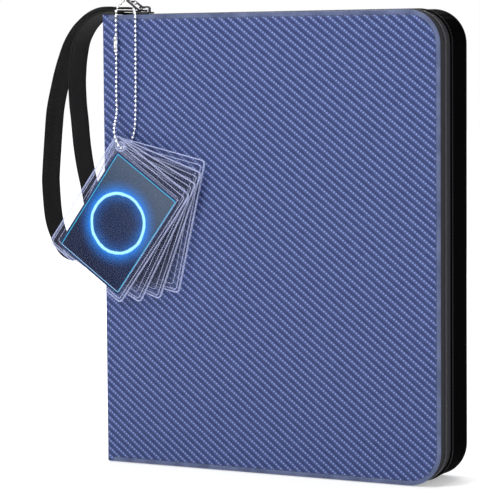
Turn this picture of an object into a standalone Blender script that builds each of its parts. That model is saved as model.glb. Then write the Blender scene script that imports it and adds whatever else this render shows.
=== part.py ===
"""Zip-up trading card binder, standing closed on its bottom edge.

Metres, +Z up. The front cover faces -Y, the spine is at -X, and the origin is
the centre of the bottom edge. Every moving piece hangs from an empty that
stands on its joint's axis.
"""

import math

import bmesh
import bpy
from mathutils import Matrix, Vector

MM = 0.001
GAP = 0.3 * MM

# Case
HEIGHT = 340 * MM
WIDTH = 272 * MM
DEPTH = 52 * MM
CORNER_RADIUS = 25 * MM
REVEAL = 0.7 * MM
SKIN = 0.9 * MM
BOARD = 1.7 * MM
LINING = 0.8 * MM
WALL = 1.6 * MM
HINGE_GROOVE = 5 * MM

# Zip
ZIP_FROM_FRONT = 11 * MM
COIL_WIDTH = 1.9 * MM
COIL_HEIGHT = 2.2 * MM
COIL_INSET = 0.2 * MM
TAPE = 0.8 * MM
TAPE_INSET = 1.0 * MM
BACK_TAPE_WIDTH = 7.2 * MM
TAPE_START = 14 * MM
SLIDER_CENTRE = 30 * MM
SLIDER_LENGTH = 11 * MM
SLIDER_WIDTH = 9.6 * MM
SLIDER_PLATE = 1.2 * MM
SLIDER_WEB = 0.6 * MM
BRIDGE_RISE = 4.3 * MM
BRIDGE_LEG = 1.3 * MM
PULL_LENGTH = 13 * MM
PULL_WIDTH = 14 * MM
PULL_BAR = 2.0 * MM
PULL_THICKNESS = 1.6 * MM
PULL_LEAN = math.radians(36)

# Ring mechanism
RING_RADIUS = 18 * MM
RING_WIRE = 2.8 * MM
RING_SPACING = 108 * MM
RING_CENTRE_RISE = 13 * MM
PLATE_LENGTH = 284 * MM
PLATE_WIDTH = 25 * MM
PLATE_HEIGHT = 5.5 * MM
PLATE_SHEET = 0.8 * MM
BLADE = 0.8 * MM
LEVER_LENGTH = 15 * MM
LEVER_WIDTH = 16 * MM
LEVER_RISE = 9 * MM

# Pages
PAGES_PER_SIDE = 5
PAGE_PITCH = 2.1 * MM
PAGE_THICKNESS = 0.9 * MM
PAGE_WIDTH = 226 * MM
PAGE_HEIGHT = 288 * MM
PAGE_MARGIN = 8 * MM
PAGE_SLOT_LENGTH = 13 * MM
PAGE_SLOT_HEIGHT = 7 * MM

# Card holders and the card on show
HOLDER_COUNT = 4
HOLDER_WIDTH = 76 * MM
HOLDER_HEIGHT = 102 * MM
HOLDER_THICKNESS = 1.8 * MM
HOLDER_SHEET = 0.4 * MM
HOLDER_PITCH = 2.4 * MM
HOLDER_CORNER = 3 * MM
HOLE_FROM_SIDE = 8.0 * MM
HOLE_FROM_TOP = 5.4 * MM
HOLE_RADIUS = 3.0 * MM
FIRST_TILT = math.radians(36)
FAN_STEP = math.radians(7.6)
CARD_WIDTH = 63.5 * MM
CARD_HEIGHT = 88.9 * MM
CARD_THICKNESS = 0.4 * MM
CARD_FROM_SIDE = 7.6 * MM
CARD_FROM_TOP = 9.6 * MM

# Ball chain and strap
CHAIN_DIAMETER = 2.4 * MM
CONNECTOR_LENGTH = 11.3 * MM
CONNECTOR_DIAMETER = 3.4 * MM
STRAP_WIDTH = 20 * MM
STRAP_THICKNESS = 1.5 * MM
STRAP_YAW = math.radians(78)
STRAP_TAB_LENGTH = 24 * MM
STRAP_TAB_Y = 9 * MM

# Places worked out from the sizes above
SPINE_X = -WIDTH / 2
FORE_X = WIDTH / 2
FRONT_Y = -DEPTH / 2
BACK_Y = DEPTH / 2
ZIP_Y = FRONT_Y + ZIP_FROM_FRONT
LAYERS = SKIN + BOARD + LINING + 2 * GAP
PLATE_X = SPINE_X + LAYERS + GAP
PLATE_TOP = PLATE_X + PLATE_HEIGHT
RING_X = PLATE_TOP + RING_CENTRE_RISE
RING_LEVELS = [HEIGHT / 2 + step * RING_SPACING for step in (-1, 0, 1)]
BLADE_X = PLATE_X + 1.6 * MM
PIVOT_Y = PLATE_WIDTH / 2 - 1.6 * MM
PULL_AXIS = Vector((SPINE_X + SLIDER_CENTRE - 1.5 * MM, ZIP_Y, HEIGHT + 2.95 * MM))
HOLE_X = SPINE_X + 20.5 * MM
HOLE_Z = HEIGHT - 99 * MM
CHAIN_BACK_Y = FRONT_Y - GAP - 0.2 * MM - CHAIN_DIAMETER / 2
HOLDER_BACK_Y = CHAIN_BACK_Y - CHAIN_DIAMETER / 2 - 0.4 * MM - HOLDER_THICKNESS / 2
CHAIN_FRONT_Y = (
    HOLDER_BACK_Y - (HOLDER_COUNT - 1) * HOLDER_PITCH
    - HOLDER_THICKNESS / 2 - 0.4 * MM - CHAIN_DIAMETER / 2
)

COLLECTION = "trading_card_binder"
CUTTERS = "cutters"


# Scene and materials

def clear_scene():
    for old in list(bpy.data.objects):
        bpy.data.objects.remove(old, do_unlink=True)


def collection(name):
    made = bpy.data.collections.new(name)
    bpy.context.scene.collection.children.link(made)
    return made


def material(name, colour, roughness, metallic=0.0, alpha=1.0):
    made = bpy.data.materials.new(name)
    made.use_nodes = True
    shader = made.node_tree.nodes["Principled BSDF"]
    shader.inputs["Base Color"].default_value = (*colour, 1.0)
    shader.inputs["Roughness"].default_value = roughness
    shader.inputs["Metallic"].default_value = metallic
    shader.inputs["Alpha"].default_value = alpha
    return made


def add(name, data, surface, group=COLLECTION):
    made = bpy.data.objects.new(name, data)
    bpy.data.collections[group].objects.link(made)
    if surface and not data.materials:
        data.materials.append(surface)
    return made


def axis_empty(name, place):
    made = bpy.data.objects.new(name, None)
    made.location = place
    bpy.data.collections[COLLECTION].objects.link(made)
    return made


def hang(pieces, axis):
    """Parents the pieces to the empty on their joint's axis, where they stand."""
    bpy.context.view_layer.update()
    for piece in pieces:
        piece.parent = axis
        piece.matrix_parent_inverse = axis.matrix_world.inverted()


# Outlines

def arc(centre, radius, start, end, steps=6):
    """Points of an arc, angles in degrees."""
    turns = [math.radians(start + (end - start) * i / steps) for i in range(steps + 1)]
    return [(centre[0] + radius * math.cos(t), centre[1] + radius * math.sin(t))
            for t in turns]


def case_outline(inset, start, top_extra=0.0):
    """The case's outline from its spine edge: square there, round at the fore edge."""
    right = FORE_X - inset - top_extra
    top = HEIGHT - inset - top_extra
    radius = CORNER_RADIUS - inset
    return (
        [(start, inset)]
        + arc((right - radius, inset + radius), radius, -90, 0)
        + arc((right - radius, top - radius), radius, 0, 90)
        + [(start, top)]
    )


def band_outline(inset, thickness, start):
    """A strip that follows the case's outline along its three zipped sides."""
    outer = case_outline(inset, start)
    inner = case_outline(inset + thickness, start)
    return outer + inner[::-1]


def rounded_box(x0, x1, y0, y1, radius, steps=4):
    corners = [
        (x1 - radius, y1 - radius, 0), (x0 + radius, y1 - radius, 90),
        (x0 + radius, y0 + radius, 180), (x1 - radius, y0 + radius, 270),
    ]
    points = []
    for x, y, turn in corners:
        points += arc((x, y), radius, turn, turn + 90, steps)
    return points


def flat(name, outlines, thickness, surface, place=(0, 0, 0), turn=(0, 0, 0), group=COLLECTION):
    """A flat piece: filled outlines, extruded to the thickness. Inner outlines are holes."""
    curve = bpy.data.curves.new(name, "CURVE")
    curve.dimensions = "2D"
    curve.fill_mode = "BOTH"
    curve.extrude = thickness / 2
    for outline in outlines:
        spline = curve.splines.new("POLY")
        spline.points.add(len(outline) - 1)
        for point, (x, y) in zip(spline.points, outline):
            point.co = (x, y, 0, 1)
        spline.use_cyclic_u = True
    made = add(name, curve, surface, group)
    made.location = place
    made.rotation_euler = turn
    return made


def upright(name, outlines, low_y, high_y, surface):
    """A flat piece whose outline is in XZ and whose thickness runs from low_y to high_y."""
    place = (0, (low_y + high_y) / 2, 0)
    return flat(name, outlines, high_y - low_y, surface, place, (math.pi / 2, 0, 0))


def box(name, low, high, surface, group=COLLECTION, bevel=0.0):
    mesh = bpy.data.meshes.new(name)
    shape = bmesh.new()
    bmesh.ops.create_cube(shape, size=1.0)
    size = [b - a for a, b in zip(low, high)]
    centre = [(a + b) / 2 for a, b in zip(low, high)]
    bmesh.ops.scale(shape, vec=size, verts=shape.verts)
    shape.to_mesh(mesh)
    shape.free()
    made = add(name, mesh, surface, group)
    made.location = centre
    if bevel:
        soften = made.modifiers.new("rounded_edges", "BEVEL")
        soften.width = bevel
        soften.segments = 1
    return made


def to_mesh(made):
    """Replaces a curve object by its welded mesh, so that it can be cut or joined."""
    bpy.context.view_layer.update()
    graph = bpy.context.evaluated_depsgraph_get()
    mesh = bpy.data.meshes.new_from_object(made.evaluated_get(graph))
    shape = bmesh.new()
    shape.from_mesh(mesh)
    bmesh.ops.remove_doubles(shape, verts=shape.verts, dist=1e-5)
    bmesh.ops.recalc_face_normals(shape, faces=shape.faces)
    shape.to_mesh(mesh)
    shape.free()
    name, surface, group = made.name, made.data.materials[0], made.users_collection[0].name
    matrix = made.matrix_world.copy()
    bpy.data.objects.remove(made, do_unlink=True)
    mesh.materials.clear()
    solid = add(name, mesh, surface, group)
    solid.name = name
    solid.matrix_world = matrix
    return solid


def join(piece, other, operation="UNION"):
    tool = piece.modifiers.new(other.name, "BOOLEAN")
    tool.operation = operation
    tool.object = other
    tool.solver = "EXACT"
    other.hide_render = True
    other.display_type = "WIRE"


def tube(name, points, diameter, surface, sides=2):
    curve = bpy.data.curves.new(name, "CURVE")
    curve.dimensions = "3D"
    curve.bevel_depth = diameter / 2
    curve.bevel_resolution = sides
    curve.use_fill_caps = True
    spline = curve.splines.new("POLY")
    spline.points.add(len(points) - 1)
    for point, place in zip(spline.points, points):
        point.co = (*place, 1)
    return add(name, curve, surface)


def smooth_route(points, spacing):
    """Evenly spaced points on a Catmull-Rom curve through the route's own points."""
    route = [Vector(p) for p in points]
    route = [2 * route[0] - route[1]] + route + [2 * route[-1] - route[-2]]
    fine = []
    for a, b, c, d in zip(route, route[1:], route[2:], route[3:]):
        for step in range(20):
            t = step / 20
            fine.append(0.5 * (2 * b + (c - a) * t + (2 * a - 5 * b + 4 * c - d) * t * t
                               + (3 * b - a - 3 * c + d) * t ** 3))
    fine.append(route[-2])
    lengths = [0.0]
    for a, b in zip(fine, fine[1:]):
        lengths.append(lengths[-1] + (b - a).length)
    count = max(2, round(lengths[-1] / spacing))
    picked, index = [], 0
    for step in range(count + 1):
        target = lengths[-1] * step / count
        while index < len(fine) - 2 and lengths[index + 1] < target:
            index += 1
        share = (target - lengths[index]) / max(lengths[index + 1] - lengths[index], 1e-9)
        picked.append(fine[index].lerp(fine[index + 1], min(share, 1.0)))
    return picked


# The case

def layered_panel(side, face_y, inward, skin_inset, colours):
    """One cover: its skin, its stiff board and its lining, from the outside in."""
    pieces = []
    depth = 0.0
    board_inset = TAPE_INSET + TAPE + GAP if side == "front" else WALL + GAP
    layers = [
        ("cover", SKIN, skin_inset, 0.0),
        ("board", BOARD, board_inset, HINGE_GROOVE),
        ("lining", LINING, board_inset, HINGE_GROOVE),
    ]
    for kind, thickness, inset, groove in layers:
        near = face_y + inward * depth
        far = near + inward * thickness
        start = SPINE_X + groove
        if kind == "cover":
            outline = case_outline(0.0, start, inset)
        else:
            outline = case_outline(inset, start)
        low, high = sorted((near, far))
        pieces.append(upright(f"{side}_{kind}", [outline], low, high, colours[kind]))
        depth += thickness + GAP
    return pieces


def zip_half(side, coil_low, tape_low, tape_high, colours):
    start = SPINE_X + TAPE_START
    coil = upright(f"zip_coil_{side}", [band_outline(COIL_INSET, COIL_HEIGHT, start)],
                   coil_low, coil_low + COIL_WIDTH, colours["coil"])
    tape = upright(f"zip_tape_{side}", [band_outline(TAPE_INSET, TAPE, start)],
                   tape_low, tape_high, colours["tape"])
    return [coil, tape]


def front_half(colours):
    pieces = layered_panel("front", FRONT_Y, 1, REVEAL, colours)
    coil_low = ZIP_Y - GAP / 2 - COIL_WIDTH
    tape_high = coil_low - SLIDER_WEB - 2 * GAP
    pieces += zip_half("front", coil_low, FRONT_Y + SKIN + GAP, tape_high, colours)
    return pieces


def back_half(colours):
    pieces = layered_panel("back", BACK_Y, -1, 0.0, colours)
    coil_low = ZIP_Y + GAP / 2
    tape_low = coil_low + COIL_WIDTH + GAP
    tape_high = tape_low + BACK_TAPE_WIDTH
    pieces += zip_half("back", coil_low, tape_low, tape_high, colours)
    wall = upright("back_wall", [band_outline(0.0, WALL, SPINE_X + HINGE_GROOVE)],
                   tape_high + GAP, BACK_Y - SKIN - GAP, colours["wall"])
    return pieces + [wall]


def spine(colours):
    half = DEPTH / 2 - SKIN - GAP
    depth = 0.0
    for kind, thickness, trim in (("cover", SKIN, 0.0), ("board", BOARD, 2 * MM),
                                  ("lining", LINING, 2 * MM)):
        low = (SPINE_X + depth, -half + trim / 2, trim)
        high = (SPINE_X + depth + thickness, half - trim / 2, HEIGHT - trim)
        box(f"spine_{kind}", low, high, colours[kind])
        depth += thickness + GAP


def strap_tab(colours):
    low_y = STRAP_TAB_Y - STRAP_TAB_LENGTH / 2
    box("strap_tab", (SPINE_X - 0.4 * MM, low_y, HEIGHT + GAP),
        (SPINE_X + 5 * MM, low_y + STRAP_TAB_LENGTH, HEIGHT + 1.9 * MM),
        colours["wall"], bevel=0.4 * MM)


# Ring mechanism

def ring_plate(colours):
    """A sheet channel with its side lips, notched where the rings come out."""
    half, top, low = PLATE_WIDTH / 2, PLATE_TOP, PLATE_X
    crown = half - 3.4 * MM
    sheet = PLATE_SHEET
    outline = [
        (low, -half), (low + 2.2 * MM, -half), (top, -crown), (top, crown),
        (low + 2.2 * MM, half), (low, half), (low, half - sheet),
        (low + 2.0 * MM, half - sheet), (top - sheet, crown - 0.3 * MM),
        (top - sheet, -crown + 0.3 * MM), (low + 2.0 * MM, -half + sheet), (low, -half + sheet),
    ]
    middle = (0, 0, HEIGHT / 2)
    plate = to_mesh(flat("ring_plate", [outline], PLATE_LENGTH, colours["steel"], middle))
    for number, level in enumerate(RING_LEVELS):
        for side in (-1, 1):
            near, far = sorted((side * 6.5 * MM, side * (half + 1 * MM)))
            notch = box(f"ring_notch_{number}_{side + 1}",
                        (low + 1.2 * MM, near, level - 2.6 * MM),
                        (top + 1 * MM, far, level + 2.6 * MM), None, CUTTERS)
            join(plate, notch, "DIFFERENCE")


def rivet(name, level, colours):
    mesh = bpy.data.meshes.new(name)
    shape = bmesh.new()
    bmesh.ops.create_cone(shape, cap_ends=True, segments=12, radius1=3.2 * MM,
                          radius2=2.2 * MM, depth=1.0 * MM)
    shape.to_mesh(mesh)
    shape.free()
    made = add(name, mesh, colours["steel"])
    made.rotation_euler = (0, math.pi / 2, 0)
    made.location = (PLATE_TOP + GAP + 0.5 * MM, 0, level)
    return made


def ring_half(name, side, level, colours):
    """Half a ring, from under the plate to the meeting point at the fore edge."""
    start = math.degrees(math.acos((BLADE_X + BLADE + GAP + RING_WIRE / 2 - RING_X) / RING_RADIUS))
    seam = math.degrees(GAP / RING_RADIUS)
    points = arc((RING_X, 0), RING_RADIUS, side * start, side * seam / 2, 14)
    return tube(name, [(x, y, level) for x, y in points], RING_WIRE, colours["chrome"])


def ring_side(name, side, colours):
    inner, outer = side * 0.5 * MM, side * (PLATE_WIDTH / 2 - PLATE_SHEET - 0.5 * MM)
    low_y, high_y = sorted((inner, outer))
    reach = PLATE_LENGTH / 2 - 8 * MM
    blade = box(f"ring_blade_{name}", (BLADE_X, low_y, HEIGHT / 2 - reach),
                (BLADE_X + BLADE, high_y, HEIGHT / 2 + reach), colours["steel"])
    rings = [ring_half(f"ring_{name}_{number + 1}", side, level, colours)
             for number, level in enumerate(RING_LEVELS)]
    hang([blade] + rings, axis_empty(f"ring_{name}_axis", (BLADE_X, side * PIVOT_Y, 0)))


def lever(name, end, colours):
    """A thumb lever past the plate's end: a foot, and a tab that stands up from it."""
    edge = HEIGHT / 2 + end * (PLATE_LENGTH / 2 + GAP + 0.2 * MM)
    tip = edge + end * LEVER_LENGTH
    base, rise = PLATE_X + 0.6 * MM, LEVER_RISE
    outline = [
        (base, edge), (base + 3.4 * MM, edge), (base + 4.4 * MM, edge + end * 6 * MM),
        (base + rise, tip - end * 2.4 * MM), (base + rise, tip), (base + rise - 3 * MM, tip),
        (base, edge + end * 5 * MM),
    ]
    made = flat(f"lever_{name}", [outline], LEVER_WIDTH, colours["black"], (0, 0, 0),
                (math.pi / 2, 0, 0))
    hang([made], axis_empty(f"lever_{name}_axis", (base + 2 * MM, 0, edge + end * 2 * MM)))


# Pages

def page(name, y, surface):
    hole_x = RING_X + math.sqrt(RING_RADIUS ** 2 - y ** 2)
    left = hole_x - PAGE_MARGIN
    bottom = (HEIGHT - PAGE_HEIGHT) / 2
    sheet = rounded_box(left, left + PAGE_WIDTH, bottom, bottom + PAGE_HEIGHT, 3 * MM, 2)
    slots = [rounded_box(hole_x - PAGE_SLOT_LENGTH / 2, hole_x + PAGE_SLOT_LENGTH / 2,
                         level - PAGE_SLOT_HEIGHT / 2, level + PAGE_SLOT_HEIGHT / 2,
                         PAGE_SLOT_HEIGHT / 2 - 0.1 * MM, 2) for level in RING_LEVELS]
    return upright(name, [sheet] + slots, y - PAGE_THICKNESS / 2, y + PAGE_THICKNESS / 2, surface)


def pages(colours):
    for side, name in ((-1, "front"), (1, "back")):
        for number in range(PAGES_PER_SIDE):
            y = side * (PAGES_PER_SIDE - number - 0.5) * PAGE_PITCH
            sheet = page(f"page_{name}_{number + 1}", y, colours["page"])
            hang([sheet], axis_empty(f"page_{name}_{number + 1}_axis", (RING_X, 0, 0)))


# Zip slider and pull

def slider(colours):
    left = SPINE_X + SLIDER_CENTRE - SLIDER_LENGTH / 2
    right = left + SLIDER_LENGTH
    low_y, high_y = ZIP_Y - SLIDER_WIDTH / 2, ZIP_Y + SLIDER_WIDTH / 2
    under = HEIGHT - COIL_INSET - COIL_HEIGHT - 0.4 * MM
    over = HEIGHT + 0.3 * MM
    web_y = ZIP_Y - GAP / 2 - COIL_WIDTH - GAP - SLIDER_WEB
    body = box("zip_slider", (left, low_y, over), (right, high_y, over + SLIDER_PLATE),
               colours["gunmetal"])
    lower = box("slider_lower", (left, low_y, under - SLIDER_PLATE), (right, high_y, under),
                None, CUTTERS)
    web = box("slider_web", (left + 0.5 * MM, web_y, under - 0.6 * MM),
              (right - 0.5 * MM, web_y + SLIDER_WEB, over + 0.6 * MM), None, CUTTERS)
    top = over + SLIDER_PLATE
    rise, leg = BRIDGE_RISE, BRIDGE_LEG
    bridge = [
        (left + 0.6 * MM, top - 0.6 * MM), (left + 0.6 * MM, top + rise - 1.2 * MM),
        (left + 1.8 * MM, top + rise), (right - 1.8 * MM, top + rise),
        (right - 0.6 * MM, top + rise - 1.2 * MM), (right - 0.6 * MM, top - 0.6 * MM),
        (right - 0.6 * MM - leg, top - 0.6 * MM), (right - 0.6 * MM - leg, top + rise - 1.3 * MM),
        (left + 0.6 * MM + leg, top + rise - 1.3 * MM), (left + 0.6 * MM + leg, top - 0.6 * MM),
    ]
    arch = flat("slider_bridge", [bridge], 1.8 * MM, colours["gunmetal"], (0, ZIP_Y, 0),
                (math.pi / 2, 0, 0), CUTTERS)
    arch = to_mesh(arch)
    for other in (lower, web, arch):
        join(body, other)
    hang([body], axis_empty("slider_axis", (SPINE_X + SLIDER_CENTRE, ZIP_Y, HEIGHT)))


def pull(colours):
    """A flat frame, lying back towards the spine from its axle under the bridge."""
    half = PULL_WIDTH / 2
    outer = rounded_box(-half, half, -0.8 * MM, PULL_LENGTH, 0.7 * MM, 1)
    inner = rounded_box(-half + PULL_BAR, half - PULL_BAR, 0.8 * MM, PULL_LENGTH - PULL_BAR,
                        0.5 * MM, 1)
    made = flat("zip_pull", [outer, inner], PULL_THICKNESS, colours["gunmetal"])
    along = Vector((-math.cos(PULL_LEAN), 0, math.sin(PULL_LEAN)))
    across = Vector((0, 1, 0))
    made.matrix_world = Matrix.Translation(PULL_AXIS) @ Matrix(
        (across, along, across.cross(along))).transposed().to_4x4()
    hang([made], axis_empty("pull_axis", PULL_AXIS))


# Ball chain, its connector and the card holders

def chain_routes():
    """The chain's centre line: up from the connector to the pull, and the way back round."""
    top, back, front = HEIGHT, CHAIN_BACK_Y, CHAIN_FRONT_Y
    left_x = SPINE_X + 12.4 * MM
    face_y = CHAIN_BACK_Y - 0.2 * MM
    upper = [
        (left_x, face_y, top - 17.0 * MM + GAP),
        (left_x, face_y, top - 4 * MM),
        (left_x - 0.3 * MM, face_y + 1.6 * MM, top + 3.0 * MM),
        (left_x + 0.8 * MM, face_y + 5 * MM, top + 7.6 * MM),
        (left_x + 2.6 * MM, face_y + 9.5 * MM, top + 11.0 * MM),
        (left_x + 5.2 * MM, ZIP_Y - 0.6 * MM, top + 13.2 * MM),
        (SPINE_X + 21.6 * MM, ZIP_Y, top + 11.6 * MM),
        (SPINE_X + 22.2 * MM, ZIP_Y - 0.1 * MM, top + 8.6 * MM),
        (SPINE_X + 22.0 * MM, ZIP_Y - 0.2 * MM, top + 6.9 * MM),
    ]
    right_x = SPINE_X + 28.8 * MM
    lower = [
        (left_x, face_y, top - 17.0 * MM - CONNECTOR_LENGTH - GAP),
        (left_x - 0.3 * MM, face_y, top - 60 * MM),
        (left_x + 0.4 * MM, face_y - 1.2 * MM, top - 74 * MM),
        (left_x + 3.6 * MM, front + 1.0 * MM, top - 86 * MM),
        (HOLE_X - 2.4 * MM, front, top - 94.0 * MM),
        (HOLE_X, front + 1.6 * MM, HOLE_Z - 0.6 * MM),
        (HOLE_X, (front + back) / 2, HOLE_Z - 0.8 * MM),
        (HOLE_X, back - 1.6 * MM, HOLE_Z - 0.8 * MM),
        (HOLE_X + 2.2 * MM, back, HOLE_Z + 0.6 * MM),
        (HOLE_X + 6.2 * MM, back, HOLE_Z + 10 * MM),
        (right_x - 0.6 * MM, back, HOLE_Z + 24 * MM),
        (right_x, back, top - 40 * MM),
        (right_x + 0.2 * MM, back, top - 4 * MM),
        (right_x - 0.4 * MM, back + 0.5 * MM, top - 0.2 * MM),
        (right_x - 1.8 * MM, back + 2.4 * MM, top + 1.9 * MM),
        (right_x - 3.9 * MM, ZIP_Y - 7.4 * MM, top + 2.4 * MM),
        (right_x - 6.0 * MM, ZIP_Y - 4.4 * MM, top + 3.0 * MM),
        (SPINE_X + 21.8 * MM, ZIP_Y - 1.7 * MM, top + 4.2 * MM),
        (SPINE_X + 21.8 * MM, ZIP_Y - 0.6 * MM, top + 6.1 * MM),
    ]
    return upper, lower


def connector(colours, middle):
    mesh = bpy.data.meshes.new("chain_connector")
    shape = bmesh.new()
    bmesh.ops.create_cone(shape, cap_ends=True, segments=10, radius1=CONNECTOR_DIAMETER / 2,
                          radius2=CONNECTOR_DIAMETER / 2, depth=CONNECTOR_LENGTH)
    shape.to_mesh(mesh)
    shape.free()
    made = add("chain_connector", mesh, colours["chrome"])
    made.location = middle
    soften = made.modifiers.new("rounded_ends", "BEVEL")
    soften.width = 0.7 * MM
    soften.segments = 1
    return made


def chain(colours):
    upper, lower = chain_routes()
    pieces = []
    for name, route in (("ball_chain_upper", upper), ("ball_chain_lower", lower)):
        pieces.append(tube(name, smooth_route(route, 2.2 * CHAIN_DIAMETER), CHAIN_DIAMETER,
                           colours["chrome"]))
    x, y, top = upper[0]
    pieces.append(connector(colours, (x, y - 0.0005, top - GAP - CONNECTOR_LENGTH / 2)))
    axis = (SPINE_X + 18.6 * MM, ZIP_Y, HEIGHT + 8.2 * MM)
    hang(pieces, axis_empty("chain_axis", axis))


def holder(name, y, tilt, colours):
    """A clear rigid sleeve, hung from the hole in its corner and open along one long side."""
    left, top = -HOLE_FROM_SIDE, HOLE_FROM_TOP
    outline = rounded_box(left, left + HOLDER_WIDTH, top - HOLDER_HEIGHT, top,
                          HOLDER_CORNER, 2)
    hole = arc((0, 0), HOLE_RADIUS, 0, 330, 11)
    made = flat(name, [outline, hole], HOLDER_THICKNESS, colours["clear"])
    made = to_mesh(made)
    slot_low = (left + CARD_FROM_SIDE - GAP, top - CARD_FROM_TOP - CARD_HEIGHT - GAP,
                -HOLDER_THICKNESS / 2 + HOLDER_SHEET)
    slot_high = (left + HOLDER_WIDTH + 1 * MM, top - CARD_FROM_TOP + GAP,
                 HOLDER_THICKNESS / 2 - HOLDER_SHEET)
    slot = box(f"{name}_slot", slot_low, slot_high, None, CUTTERS)
    place = Matrix.Translation((HOLE_X, y, HOLE_Z)) @ Matrix.Rotation(tilt, 4, "Y") \
        @ Matrix.Rotation(math.pi / 2, 4, "X")
    slot.matrix_world = place @ slot.matrix_basis
    made.matrix_world = place
    join(made, slot, "DIFFERENCE")
    return made, place


def holders(colours):
    for number in range(HOLDER_COUNT):
        y = HOLDER_BACK_Y - (HOLDER_COUNT - 1 - number) * HOLDER_PITCH
        tilt = FIRST_TILT - number * FAN_STEP
        made, place = holder(f"card_holder_{number + 1}", y, tilt, colours)
        hang([made], axis_empty(f"holder_{number + 1}_axis", (HOLE_X, y, HOLE_Z)))
        if number == 0:
            left = -HOLE_FROM_SIDE + CARD_FROM_SIDE
            top = HOLE_FROM_TOP - CARD_FROM_TOP
            outline = rounded_box(left, left + CARD_WIDTH, top - CARD_HEIGHT, top, 2.5 * MM, 2)
            card = flat("display_card", [outline], CARD_THICKNESS, colours["card"])
            card.matrix_world = place
            hang([card], axis_empty("card_axis", (HOLE_X, y, HOLE_Z)))


# Wrist strap

def strap_route():
    """One webbing band: out of the tab, over, down, round the fold and back up beside it."""
    drop = HEIGHT
    outer = [
        (-130.5, 9, 4.9), (-135.5, 9, 5.2), (-142, 10, 5.9), (-151, 11, 5.8), (-159, 13, 4.2),
        (-167, 15, 1.0), (-174.5, 17, -3.6), (-182, 19, -9.6), (-190, 21, -19.4),
        (-196.5, 23, -31.4), (-202, 25, -43.6), (-206, 26, -56), (-209, 26, -68),
        (-211, 26, -80.6), (-214.6, 26, -119.6), (-215, 26, -134), (-212.8, 26, -158.6),
        (-207.6, 26, -174), (-199, 26, -187), (-187, 26, -191),
    ]
    inner = [
        (-177.5, 26, -184.5), (-174, 26, -173), (-175, 26, -159), (-179, 26, -136.6),
        (-183.2, 26, -118), (-186, 26, -100.4), (-187.2, 25, -81), (-188, 24, -68),
        (-188, 23, -52.6), (-187, 22, -43.8), (-185.4, 21, -33.6), (-181.6, 19, -21.2),
        (-177, 17, -14), (-171, 15, -7.6), (-163, 13, -2.0), (-154, 11.4, 1.6),
        (-145, 10.4, 3.4), (-138.5, 9, 3.2), (-135, 9, 3.0), (-130.5, 9, 2.9),
    ]
    shift = SPINE_X + 136 * MM
    return [(x * MM + shift, y * MM, drop + z * MM) for x, y, z in outer + inner]


def wrist_strap(colours):
    route = smooth_route(strap_route(), 6 * MM)
    across = Vector((math.cos(STRAP_YAW), math.sin(STRAP_YAW), 0)) * STRAP_WIDTH
    mesh = bpy.data.meshes.new("wrist_strap")
    shape = bmesh.new()
    line = [shape.verts.new(point - across / 2) for point in route]
    edges = [shape.edges.new(pair) for pair in zip(line, line[1:])]
    swept = bmesh.ops.extrude_edge_only(shape, edges=edges)["geom"]
    moved = [item for item in swept if isinstance(item, bmesh.types.BMVert)]
    bmesh.ops.translate(shape, vec=across, verts=moved)
    shape.to_mesh(mesh)
    shape.free()
    made = add("wrist_strap", mesh, colours["webbing"])
    thicken = made.modifiers.new("webbing_thickness", "SOLIDIFY")
    thicken.thickness = STRAP_THICKNESS
    thicken.offset = 0.0


def palette():
    return {
        "cover": material("blue_twill_cover", (0.12, 0.16, 0.42), 0.45),
        "board": material("grey_board", (0.35, 0.33, 0.30), 0.9),
        "lining": material("black_lining", (0.02, 0.02, 0.022), 0.85),
        "wall": material("black_wall", (0.015, 0.015, 0.016), 0.6),
        "tape": material("zip_tape", (0.02, 0.02, 0.025), 0.8),
        "coil": material("zip_coil", (0.05, 0.05, 0.06), 0.35),
        "steel": material("bright_steel", (0.7, 0.7, 0.72), 0.3, 1.0),
        "chrome": material("chromed_steel", (0.8, 0.8, 0.82), 0.12, 1.0),
        "gunmetal": material("gunmetal", (0.06, 0.06, 0.065), 0.3, 1.0),
        "black": material("black_plastic", (0.02, 0.02, 0.02), 0.4),
        "page": material("clear_page", (0.85, 0.88, 0.92), 0.2, 0.0, 0.5),
        "clear": material("clear_holder", (0.8, 0.84, 0.95), 0.15, 0.0, 0.4),
        "card": material("display_card", (0.02, 0.08, 0.16), 0.3),
        "webbing": material("black_webbing", (0.014, 0.014, 0.014), 0.9),
    }


def main():
    clear_scene()
    collection(COLLECTION)
    collection(CUTTERS).hide_render = True
    colours = palette()
    spine(colours)
    strap_tab(colours)
    hang(front_half(colours), axis_empty("front_hinge", (SPINE_X, FRONT_Y, 0)))
    hang(back_half(colours), axis_empty("back_hinge", (SPINE_X, BACK_Y, 0)))
    ring_plate(colours)
    for end, name in ((-1, "lower"), (1, "upper")):
        rivet(f"plate_rivet_{name}", HEIGHT / 2 + end * 126 * MM, colours)
        lever(name, end, colours)
    for side, name in ((-1, "front"), (1, "back")):
        ring_side(name, side, colours)
    pages(colours)
    slider(colours)
    pull(colours)
    chain(colours)
    holders(colours)
    wrist_strap(colours)


main()
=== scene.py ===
"""Looks of the zip-up trading card binder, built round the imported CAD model.

Metres, +Z up, in the CAD model's own frame. The front cover faces -Y and the
spine is at -X.
"""

import math

import bmesh
import bpy
import numpy as np
from mathutils import Matrix, Vector


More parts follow.
